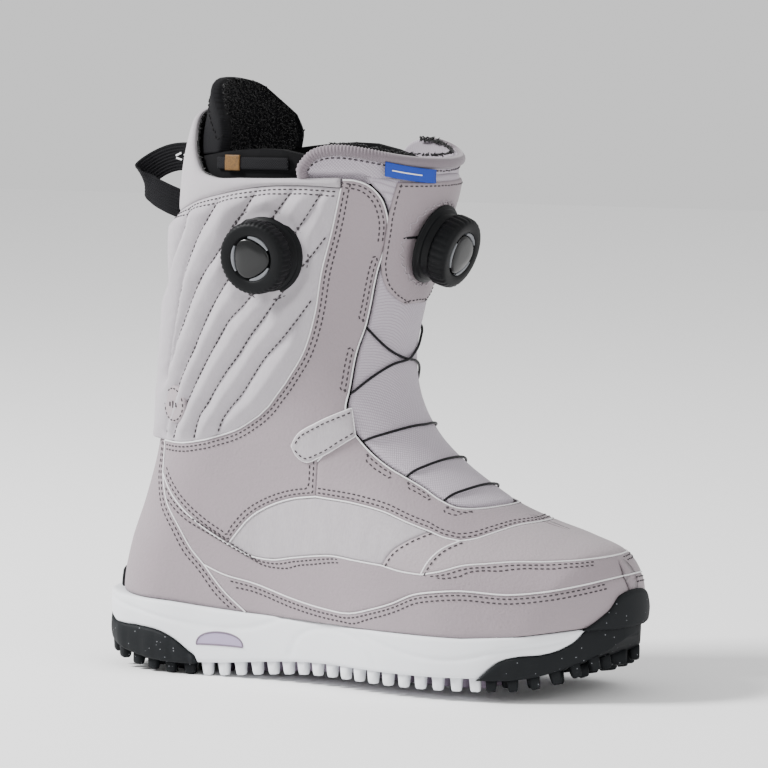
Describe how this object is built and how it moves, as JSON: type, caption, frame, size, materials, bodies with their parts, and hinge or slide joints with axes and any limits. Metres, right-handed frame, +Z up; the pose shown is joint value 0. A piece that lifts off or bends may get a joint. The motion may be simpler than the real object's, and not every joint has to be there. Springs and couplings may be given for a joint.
{
  "type": "snowboard boot",
  "caption": "Right snowboard boot with quilted shaft, removable liner, lugged sole, tongue with a front winding dial and a side winding dial.",
  "frame": {"origin": "on the ground plane under the middle of the sole, at the flat lug faces", "axes": "+X towards the toe, +Z up, -Y the lateral (outer) side of a right boot"},
  "size_m": [0.2881, 0.1202, 0.2951],
  "materials": {
    "badge_print": "matte printed patch",
    "black_fleece": "black fleece pile",
    "black_lace": "black coated cord",
    "black_webbing": "black ribbed webbing",
    "blue_label": "woven blue label",
    "counter_plastic": "grey thermoplastic",
    "cushion_lilac": "translucent lilac cushion",
    "dial_gloss": "smooth black plastic",
    "dial_plastic": "black moulded plastic",
    "dial_rubber": "black rubber over-mould",
    "footbed_foam": "dark foam with cloth face",
    "gold_label": "woven gold on black",
    "guide_nylon": "black nylon tape",
    "gusset_fabric": "thin black nylon",
    "harness_plastic": "black flexible plastic",
    "lasting_fibre": "tan fibre board",
    "liner_board": "black board",
    "liner_foam": "black heat-moulded foam with knit face",
    "mesh_textile": "light grey brushed textile",
    "midsole_foam": "white foam rubber",
    "outsole_rubber": "black rubber with pale speckles",
    "puff_plastic": "cream thermoplastic",
    "quilted_textile": "light grey quilted woven textile",
    "screw_steel": "zinc-plated steel",
    "shank_steel": "stamped steel strip",
    "spool_plastic": "grey moulded plastic",
    "tab_textile": "light grey ribbed textile",
    "tongue_textile": "light grey textile with lilac tint",
    "upper_leather": "matte grained mauve-grey synthetic leather"
  },
  "bodies": {
    "boot": {"ankle_harness_lateral": "harness_plastic", "ankle_harness_medial": "harness_plastic", "ankle_tab_lateral": "tab_textile", "ankle_tab_medial": "tab_textile", "badge": "badge_print", "collar_band": "quilted_textile", "footbed": "footbed_foam", "front_lace": "black_lace", "harness_lace": "black_lace", "heel_counter": "counter_plastic", "heel_cushion_bar": "cushion_lilac", "heel_overlay": "upper_leather", "lace_guide_lateral": "guide_nylon", "lace_guide_medial": "guide_nylon", "lasting_board": "lasting_fibre", "liner_back_collar": "black_fleece", "liner_body": "liner_foam", "liner_label": "gold_label", "liner_sole": "liner_board", "liner_strap": "black_webbing", "liner_toe_box": "liner_foam", "midsole": "midsole_foam", "outsole_heel": "outsole_rubber", "outsole_toe": "outsole_rubber", "pull_loop": "black_webbing", "quarter_lateral": "upper_leather", "quarter_medial": "upper_leather", "quilted_cuff_lateral": "quilted_textile", "quilted_cuff_medial": "quilted_textile", "rand_lower": "upper_leather", "rand_upper": "upper_leather", "shank": "shank_steel", "shell_lining_lateral": "black_fleece", "shell_lining_medial": "black_fleece", "side_dial_housing": "dial_plastic", "side_dial_screw": "screw_steel", "side_window_lateral": "mesh_textile", "side_window_medial": "mesh_textile", "throat_overlay": "upper_leather", "toe_bumper": "outsole_rubber", "toe_puff": "puff_plastic", "tongue_gusset_lateral": "gusset_fabric", "tongue_gusset_medial": "gusset_fabric", "vamp": "upper_leather", "vamp_lining": "black_fleece"},
    "tongue": {"tongue": "tongue_textile", "tongue_binding": "tongue_textile", "tongue_dial_patch": "upper_leather", "tongue_label": "blue_label", "liner_tongue": "liner_foam", "front_dial_housing": "dial_plastic", "front_dial_screw": "screw_steel"},
    "side_dial_lift": {"side_dial_lifting_ring": "dial_plastic"},
    "side_dial_turn": {"side_dial_knob": "dial_rubber", "side_dial_cap": "dial_gloss"},
    "side_dial_reel": {"side_dial_spool": "spool_plastic"},
    "front_dial_lift": {"front_dial_lifting_ring": "dial_plastic"},
    "front_dial_turn": {"front_dial_knob": "dial_rubber", "front_dial_cap": "dial_gloss"},
    "front_dial_reel": {"front_dial_spool": "spool_plastic"}
  },
  "joints": [
    {"name": "tongue_hinge", "type": "hinge", "parent": "boot", "child": "tongue", "pos_m": [0.08, 0, 0.086], "axis": [0, 1, 0], "range_deg": [0, 18], "deforming": ["front_lace", "tongue_gusset_lateral", "tongue_gusset_medial", "harness_lace"]},
    {"name": "side_dial_pull", "type": "slide", "parent": "boot", "child": "side_dial_lift", "axis": [0.0345, -0.9952, -0.0916], "range_m": [0, 0.003]},
    {"name": "side_knob_turn", "type": "hinge", "parent": "side_dial_lift", "child": "side_dial_turn", "pos_m": [-0.02906, -0.04859, 0.20566], "axis": [0.0345, -0.9952, -0.0916], "continuous": true},
    {"name": "side_spool_turn", "type": "hinge", "parent": "boot", "child": "side_dial_reel", "pos_m": [-0.02906, -0.04859, 0.20566], "axis": [0.0345, -0.9952, -0.0916], "continuous": true},
    {"name": "front_dial_pull", "type": "slide", "parent": "tongue", "child": "front_dial_lift", "axis": [0.9526, 0, -0.3043], "range_m": [0, 0.003]},
    {"name": "front_knob_turn", "type": "hinge", "parent": "front_dial_lift", "child": "front_dial_turn", "pos_m": [0.03727, 0, 0.21018], "axis": [0.9526, 0, -0.3043], "continuous": true},
    {"name": "front_spool_turn", "type": "hinge", "parent": "tongue", "child": "front_dial_reel", "pos_m": [0.03727, 0, 0.21018], "axis": [0.9526, 0, -0.3043], "continuous": true}
  ],
  "couplings": [
    {"joint": "side_spool_turn", "follows": "side_knob_turn", "ratio": 1},
    {"joint": "front_spool_turn", "follows": "front_knob_turn", "ratio": 1}
  ]
}
